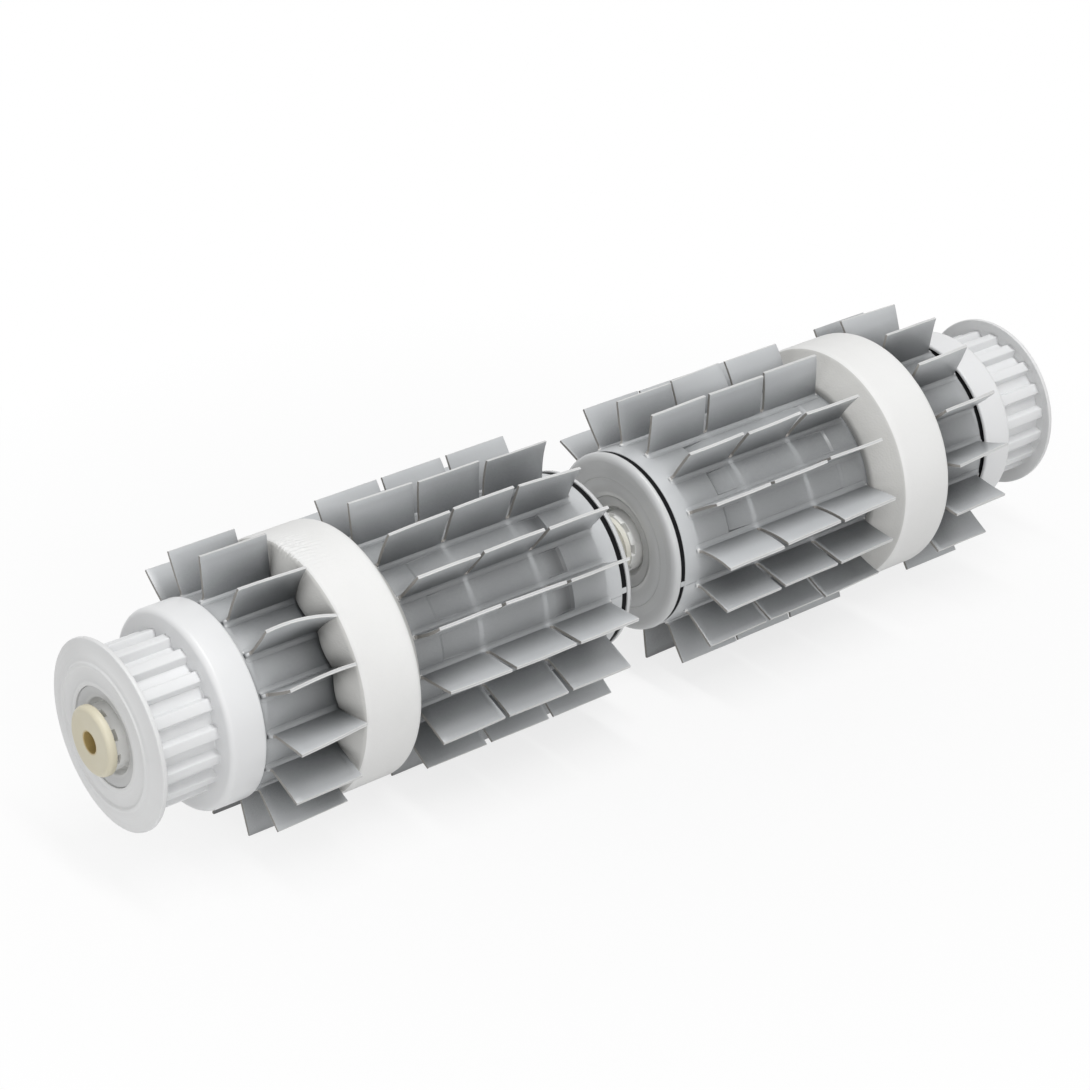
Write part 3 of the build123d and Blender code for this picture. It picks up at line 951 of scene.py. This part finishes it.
cap = {
    "face": 9.9, "back": 12.5, "radius": 33.4, "seat": 17.4, "step": 24.4,
    "spigotOuter": 29.1, "spigotBore": 26.1, "spigotEnd": 26.5, "seatOuter": 20.4, "seatEnd": 19.9,
    "edgeRound": 0.3, "seatRound": 0.2, "ribs": 6, "ribWidth": 2.0, "ribLap": 0.1, "ribRound": 0.2,
    # rows of depth behind the face and distance from the seat, the step and the rim, some with a rounding:
    # the bead round the hub, the step with the valley outside it, the rounded rim
    "bead": [(1.1, 0.0), (0.35, 0.8), (0.02, 2.2)],
    "stepProfile": [
        (0.0, -2.6), (0.12, -0.9), (0.4, 0.0, 0.06), (0.05, 0.3, 0.1), (0.02, 1.2), (0.3, 3.2), (0.3, 4.0),
    ],
    "rim": [(0.0, -3.2), (0.0, -2.4), (0.22, -1.3), (0.7, -0.5), (1.3, -0.1), (1.8, 0.0)],
}


def makeCap():
    face, back, edgeRound, seatRound = cap["face"], cap["back"], cap["edgeRound"], cap["seatRound"]
    outline = offsetRows(cap["bead"], face, cap["seat"])
    outline += offsetRows(cap["stepProfile"], face, cap["step"])
    outline += offsetRows(cap["rim"], face, cap["radius"])
    outline += [
        (back, cap["radius"], edgeRound), (back, cap["spigotOuter"]),
        (cap["spigotEnd"], cap["spigotOuter"], edgeRound), (cap["spigotEnd"], cap["spigotBore"], edgeRound),
        (back, cap["spigotBore"]), (back, cap["seatOuter"]),
        (cap["seatEnd"], cap["seatOuter"], seatRound), (cap["seatEnd"], cap["seat"], seatRound),
    ]
    parts = [lathe("cap", outline, 180, roundSteps=6)]
    ribHeight = cap["spigotBore"] - cap["seatOuter"] + 2 * cap["ribLap"]
    ribCentre = place((cap["seatEnd"] + back) / 2, cap["seatOuter"] - cap["ribLap"] + ribHeight / 2)
    for step in range(cap["ribs"]):
        rib = box("rib", ribCentre, (cap["seatEnd"] - back, cap["ribWidth"], ribHeight))
        softened(rib, cap["ribRound"])
        rolled(rib, step * 360 / cap["ribs"])
        parts.append(rib)
    piece = joined(parts, "cap")
    dress(piece, capGrey)
    smoothByAngle(piece, 40)
    return piece


handOverPair(makeCap(), "MiddleCap", "roller", "middle_cap")
print("caps made")


# Bearing hubs

hub = {
    "radius": 17.3, "depth": 10.0, "edge": 0.6, "rimDrop": 1.1, "boss": 11.3, "proud": 1.6, "recess": 4.6,
    "coneDepth": 1.9, "coneFoot": 13.2, "bore": 7.05, "bearing": 10.05, "bearingLength": 20.0,
    "notches": 8, "notchAngle": 20.0, "notchDepth": 1.5, "notchInner": 8.9, "steps": 144,
    "face": {"inner": 9.9, "outer": 205.3}, "phase": {"inner": 36.0, "outer": -13.5},
    # rows of depth under the recess's floor and distance from the boss, and the roundings
    "recessFloor": [(-0.45, 0.9), (0.0, 0.2, 0.1), (-0.2, 0.0)],
    "coneRound": 0.5, "bearingRound": 0.4, "backRound": 0.3, "softEdge": 0.12, "softAngle": 50.0,
}


def makeHub():
    # face around the hub at x = 0, boss towards +x, first notch at angle 0
    top = hub["proud"]
    notchFloor = top - hub["notchDepth"]
    half = hub["notchAngle"] / 2
    outline = [
        (-hub["rimDrop"], hub["radius"]), (-hub["rimDrop"], hub["radius"] - hub["edge"]),
        (-hub["coneDepth"], hub["coneFoot"], hub["coneRound"]),
    ]
    outline += offsetRows(hub["recessFloor"], -hub["recess"], hub["boss"], -1)
    outline += [
        (notchFloor, hub["boss"]), (top, hub["boss"]), (top, hub["notchInner"]), (top, hub["bore"]),
        (-hub["bearingLength"], hub["bore"]), (-hub["bearingLength"], hub["bearing"], hub["bearingRound"]),
        (-hub["depth"], hub["bearing"]), (-hub["depth"], hub["radius"], hub["backRound"]),
    ]
    piece = lathe("hub", outline, hub["steps"])

    def inNotch(angle):
        return abs(apart(angle * hub["notches"], 0.0)) < half * hub["notches"]

    def onNotchWall(centre, normal):
        onBoss = abs(radiusOf(centre) - hub["boss"]) < 0.05
        return onBoss and notchFloor < centre.x < top and inNotch(angleOf(centre))

    startEdit(piece, "FACE")
    pickFaces(onNotchWall)
    bpy.ops.mesh.delete(type="ONLY_FACE")
    pickFaces(lambda centre, normal: centre.x > top - 0.01 and radiusOf(centre) > hub["notchInner"]
              and inNotch(angleOf(centre)))
    bpy.ops.mesh.extrude_region_move(TRANSFORM_OT_translate={"value": (-hub["notchDepth"] * mm, 0, 0)})
    pickFaces(onNotchWall)
    bpy.ops.mesh.delete(type="FACE")
    endEdit()
    finishedSeams(piece)
    softened(piece, hub["softEdge"], hub["softAngle"])
    dress(piece, hubWhite)
    smoothByAngle(piece, 40)
    return piece


hubModel = makeHub()
for side, sign in halves.items():
    for end in ("inner", "outer"):
        piece = copyOf(hubModel, f"{side}{end.capitalize()}Hub")
        if (side, end) in (("left", "outer"), ("right", "inner")):
            swappedEnds(piece)
        rolled(piece, sign * hub["phase"][end])
        piece.data.transform(Matrix.Translation((sign * hub["face"][end] * mm, 0, 0)))
        handOver(piece, f"{side}_roller", f"{side}_{end}_hub")
bpy.data.objects.remove(hubModel)
print("hubs made")


# Toothed pulleys

pulley = {
    "diskBack": 165.3, "diskFace": 178.8, "drumEnd": 203.3, "diskRadius": 35.1,
    "edge": 2.2, "backEdge": 0.8, "dishEdge": 0.2, "softEdge": 0.3, "drumRound": 0.4, "boreRound": 0.5,
    "dishRadius": 33.7, "dishFloor": 167.6, "spigotStart": 153.6, "spigotOuter": 29.1, "spigotBore": 26.1,
    "webStart": 195.3, "seat": 17.4, "bore": 22.0, "throat": 175.8,
    "teeth": 18, "tip": 28.3, "root": 25.4, "tipWidth": 3.9, "rootWidth": 5.3, "tipRound": 0.45,
    "sink": 0.8, "endLap": 0.1,
}


def makePulley():
    soft, boreRound = pulley["softEdge"], pulley["boreRound"]
    body = lathe("pulley", [
        (pulley["spigotStart"], pulley["spigotBore"], soft),
        (pulley["spigotStart"], pulley["spigotOuter"], soft),
        (pulley["dishFloor"], pulley["spigotOuter"]), (pulley["dishFloor"], pulley["dishRadius"], soft),
        (pulley["diskBack"], pulley["dishRadius"], pulley["dishEdge"]),
        (pulley["diskBack"], pulley["diskRadius"], pulley["backEdge"]),
        (pulley["diskFace"], pulley["diskRadius"], pulley["edge"]),
        (pulley["diskFace"], pulley["root"], pulley["drumRound"]),
        (pulley["drumEnd"], pulley["root"]), (pulley["drumEnd"], pulley["seat"]),
        (pulley["webStart"], pulley["seat"]), (pulley["webStart"], pulley["bore"], boreRound),
        (pulley["throat"], pulley["bore"], boreRound), (pulley["throat"], pulley["spigotBore"]),
    ], 216, roundSteps=8)
    low = pulley["root"] - pulley["sink"]
    centre = place((pulley["diskFace"] + pulley["drumEnd"]) / 2, (low + pulley["tip"]) / 2)
    length = pulley["drumEnd"] - pulley["diskFace"] + 2 * pulley["endLap"]
    tooth = box("tooth", centre, (length, pulley["rootWidth"], pulley["tip"] - low))
    startEdit(tooth, "FACE")
    pickFaces(lambda centre, normal: normal.z > 0.9)
    bpy.ops.transform.resize(value=(1, pulley["tipWidth"] / pulley["rootWidth"], 1))
    pickEdges(lambda a, b: min(a.z, b.z) > pulley["tip"] - 0.01 and abs(a.y - b.y) < 0.01)
    bpy.ops.mesh.bevel(offset=pulley["tipRound"] * mm, segments=3, affect="EDGES")
    endEdit()
    parts = [body]
    for step in range(pulley["teeth"]):
        twin = copyOf(tooth, "toothCopy")
        rolled(twin, step * 360 / pulley["teeth"])
        parts.append(twin)
    bpy.data.objects.remove(tooth)
    piece = joined(parts, "pulley")
    dress(piece, pulleyWhite)
    smoothByAngle(piece, 40)
    return piece


handOverPair(makePulley(), "DrivePulley", "roller", "drive_pulley")
print("pulleys made")


# Outboard flanges

flange = {
    "back": 203.3, "face": 205.3, "seat": 17.4, "land": 25.1, "rimFace": 203.4, "rimBack": 201.6,
    "radius": 33.3, "footRadius": 28.7, "backRound": 0.5, "footRound": 0.2,
    # rows of depth under the face and distance from seat, land's edge and rim, some with a rounding
    "seatProfile": [(0.5, 0.0, 0.3), (0.5, 1.6, 0.3), (0.7, 1.9)],
    "landProfile": [
        (0.65, -1.3, 0.3), (0.0, -0.6, 0.25), (0.0, 0.1, 0.3), (0.55, 0.8, 0.3), (0.75, 2.4), (0.95, 2.7),
    ],
    "rimProfile": [(-0.1, -1.0, 0.6), (0.1, 0.0, 0.5)],
}


def makeFlange():
    outline = [(flange["back"], flange["seat"])]
    outline += offsetRows(flange["seatProfile"], flange["face"], flange["seat"], -1)
    outline += offsetRows(flange["landProfile"], flange["face"], flange["land"], -1)
    outline += offsetRows(flange["rimProfile"], flange["rimFace"], flange["radius"], -1)
    outline.append((flange["rimBack"], flange["radius"], flange["backRound"]))
    outline.append((flange["back"], flange["footRadius"], flange["footRound"]))
    piece = lathe("flange", outline, 216)
    dress(piece, flangeWhite)
    smoothByAngle(piece, 45)
    return piece


handOverPair(makeFlange(), "PulleyFlange", "roller", "pulley_flange")
print("flanges made")


# End bushes

bush = {
    "headBack": 207.05, "headFace": 210.05, "headRadius": 12.2, "edge": 1.6, "backRound": 0.2,
    "bore": 3.75, "mouthRound": 0.3, "innerMouthRound": 0.2, "journal": 7.0, "journalEnd": 185.15,
    "barb": 7.9, "barbLength": 0.7, "barbRound": 0.1, "tip": 182.35, "tipRadius": 6.1,
    "slotWidth": 1.6, "slotLength": 11.0,
}


def makeBush():
    barbRound = bush["barbRound"]
    piece = lathe("bush", [
        (bush["headFace"], bush["bore"], bush["mouthRound"]),
        (bush["headFace"], bush["headRadius"], bush["edge"]),
        (bush["headBack"], bush["headRadius"], bush["backRound"]), (bush["headBack"], bush["journal"]),
        (bush["journalEnd"], bush["journal"]), (bush["journalEnd"], bush["barb"], barbRound),
        (bush["journalEnd"] - bush["barbLength"], bush["barb"], barbRound),
        (bush["tip"], bush["tipRadius"], barbRound), (bush["tip"], bush["bore"], bush["innerMouthRound"]),
    ], 96, roundSteps=7)
    sawSize = (2 * bush["slotLength"], bush["slotWidth"], 4 * bush["journal"])
    saw = box("saw", place(bush["tip"], 0), sawSize)
    applied(piece, "BOOLEAN", object=saw, operation="DIFFERENCE", solver="EXACT")
    bpy.data.objects.remove(saw)
    dress(piece, bushCream)
    smoothByAngle(piece, 40)
    return piece


handOverPair(makeBush(), "EndBush", "end_bush", "end_bush")
print("bushes made")


# Core tubes, black where they show beside the sleeves

coreTube = {
    "start": 12.5, "end": 167.0, "radius": 32.0, "bore": 29.2, "collar": 32.9, "round": 0.15,
    "innerCollar": (12.55, 14.6), "outerCollar": (164.1, 166.9),
}


def makeCoreTube():
    high, low, soft = coreTube["collar"], coreTube["radius"], coreTube["round"]
    outline = [(coreTube["start"], coreTube["bore"]), (coreTube["start"], low)]
    for start, end in (coreTube["innerCollar"], coreTube["outerCollar"]):
        outline += [(start, low), (start, high, soft), (end, high, soft), (end, low)]
    outline += [(coreTube["end"], low), (coreTube["end"], coreTube["bore"])]
    piece = lathe("coreTube", outline, 180)
    dress(piece, tubeBlack)
    smoothByAngle(piece)
    return piece


handOverPair(makeCoreTube(), "CoreTube", "roller", "core_tube")
print("core tubes made")


# CAD pieces that keep their own meshes

for side in halves:
    dress(nodes[f"{side}_seat_washer"], washerTan)
dress(nodes["centre_joiner"], joinerCream)


# Floor, light and camera

studio = {
    "floorSize": 14.0, "floorColour": 0.8, "clearFrom": 0.10, "clearTo": 0.34, "clearNear": 0.78,
    "fillWorld": 0.40,
    "lamps": [
        # name, place, width along the roller, length across it, watts
        ("stripSoftbox", (0.0, -0.38, 1.66), 0.15, 1.4, 18.5),
        ("frontFill", (-0.9, -1.6, 0.8), 1.6, 1.2, 8.0),
        ("leftFill", (-1.8, -0.35, 0.35), 1.0, 1.0, 4.8),
    ],
}
camera = {
    "place": (-0.6174, -0.7355, 0.5072), "forward": (0.5546, 0.690, -0.4648),
    "lens": 100.0, "sensor": 36.0, "shiftX": 0.0073, "shiftY": -0.0018,
}


def lookAlong(thing, direction):
    thing.rotation_euler = Vector(direction).to_track_quat("-Z", "Y").to_euler()


def whiteForEyes(owner):
    # 1 for what the camera sees directly, in gloss or through clear things
    path = addNode(owner, "ShaderNodeLightPath")
    first = addNode(owner, "ShaderNodeMath", operation="MAXIMUM")
    second = addNode(owner, "ShaderNodeMath", operation="MAXIMUM")
    link(owner, path.outputs["Is Camera Ray"], first.inputs[0])
    link(owner, path.outputs["Is Glossy Ray"], first.inputs[1])
    link(owner, first.outputs[0], second.inputs[0])
    link(owner, path.outputs["Is Transmission Ray"], second.inputs[1])
    return second.outputs[0]


def makeWorld():
    world = bpy.data.worlds.new("studioWorld")
    bpy.context.scene.world = world
    world.use_nodes = True
    background = world.node_tree.nodes["Background"]
    background.inputs["Color"].default_value = (1, 1, 1, 1)
    blend = addNode(world, "ShaderNodeMix")
    blend.inputs[2].default_value = studio["fillWorld"]
    blend.inputs[3].default_value = 1.0
    link(world, whiteForEyes(world), blend.inputs[0])
    link(world, blend.outputs[0], background.inputs["Strength"])


def makeFloor():
    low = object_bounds()[0][2]
    clearSelection()
    bpy.ops.mesh.primitive_plane_add(size=studio["floorSize"], location=(0, 0, low))
    floor = bpy.context.object
    floor.name = "studioFloor"
    settle(floor)
    shade = studio["floorColour"]
    material = newMaterial("floorPale", (shade, shade, shade), 0.9)
    glow = addNode(material, "ShaderNodeEmission", Color=(1, 1, 1, 1))
    fade = addNode(material, "ShaderNodeVectorMath", operation="LENGTH")
    link(material, objectPlace(material), fade.inputs[0])
    band = (studio["clearFrom"], studio["clearTo"], studio["clearNear"])
    far = stretchRange(material, fade.outputs["Value"], *band)
    seen = addNode(material, "ShaderNodeMath", operation="MULTIPLY")
    link(material, far, seen.inputs[0])
    link(material, whiteForEyes(material), seen.inputs[1])
    blend = addNode(material, "ShaderNodeMixShader")
    ownNodes = material.node_tree.nodes
    link(material, seen.outputs[0], blend.inputs[0])
    link(material, ownNodes["Principled BSDF"].outputs[0], blend.inputs[1])
    link(material, glow.outputs[0], blend.inputs[2])
    link(material, blend.outputs[0], ownNodes["Material Output"].inputs["Surface"])
    dress(floor, material)


def makeLamps():
    for name, spot, width, length, watts in studio["lamps"]:
        lamp = bpy.data.lights.new(name, "AREA")
        lamp.shape = "RECTANGLE"
        lamp.size = width
        lamp.size_y = length
        lamp.energy = watts
        thing = bpy.data.objects.new(name, lamp)
        thing.location = spot
        lookAlong(thing, -Vector(spot))
        bpy.context.collection.objects.link(thing)


def makeCamera():
    lens = bpy.data.cameras.new("photoCamera")
    lens.lens = camera["lens"]
    lens.sensor_width = camera["sensor"]
    lens.shift_x = camera["shiftX"]
    lens.shift_y = camera["shiftY"]
    thing = bpy.data.objects.new("photoCamera", lens)
    thing.location = camera["place"]
    lookAlong(thing, camera["forward"])
    bpy.context.collection.objects.link(thing)
    bpy.context.scene.camera = thing


makeWorld()
makeFloor()
makeLamps()
makeCamera()
bpy.context.scene.view_settings.view_transform = "Standard"
print("studio made")
